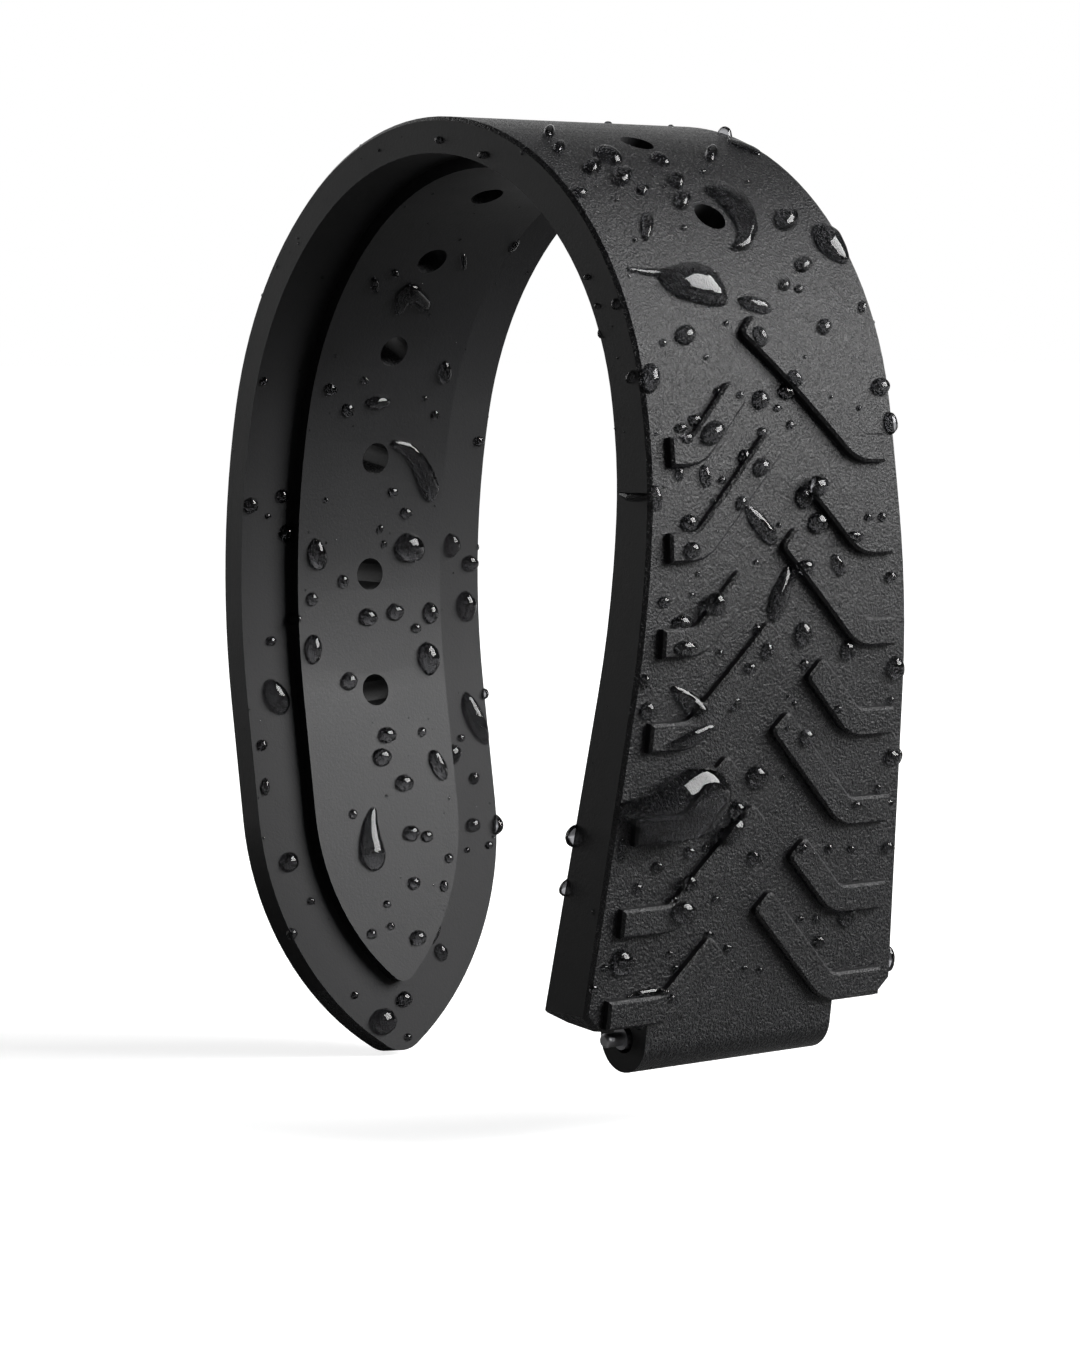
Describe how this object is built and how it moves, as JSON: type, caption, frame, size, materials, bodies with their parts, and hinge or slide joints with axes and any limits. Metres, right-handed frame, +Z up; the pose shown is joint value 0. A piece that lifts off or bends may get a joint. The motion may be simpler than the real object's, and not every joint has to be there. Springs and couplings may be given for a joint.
{
  "type": "watch strap half",
  "caption": "Moulded rubber dive strap half, standing as an open hoop, with pointed tongue, adjustment holes, chevron tread lugs and a spring bar in its end tab.",
  "frame": {"origin": "middle of the bounding box in X and Y, on the ground plane that the tongue tip touches", "axes": "+Z up, from the tongue tip to the crown of the hoop; +Y across the width, away from the side that the picture shows nearest; +X from the tongue leg towards the leg with the tread lugs"},
  "size_m": [0.0408, 0.0226, 0.0563],
  "materials": {
    "strap_rubber": "satin, with a fine grain on the outer face",
    "bar_steel": "turned, fine machining marks",
    "spring_steel": "drawn wire"
  },
  "bodies": {
    "strap": {"strap_body": "strap_rubber"},
    "spring_bar": {"spring_bar_tube": "bar_steel", "spring_bar_spring": "spring_steel"},
    "tip_near": {"spring_bar_tip_near": "bar_steel"},
    "tip_far": {"spring_bar_tip_far": "bar_steel"}
  },
  "joints": [
    {"name": "spring_bar_turn", "type": "hinge", "parent": "strap", "child": "spring_bar", "pos_m": [0.01488, 0, 0.00576], "axis": [0, 1, 0], "continuous": true},
    {"name": "tip_near_press", "type": "slide", "parent": "spring_bar", "child": "tip_near", "axis": [0, 1, 0], "range_m": [0, 0.0012], "stiffness_N_per_m": 500, "springref_m": -0.001, "deforming": ["spring_bar_spring"]},
    {"name": "tip_far_press", "type": "slide", "parent": "spring_bar", "child": "tip_far", "axis": [0, -1, 0], "range_m": [0, 0.0012], "stiffness_N_per_m": 500, "springref_m": -0.001, "deforming": ["spring_bar_spring"]}
  ]
}
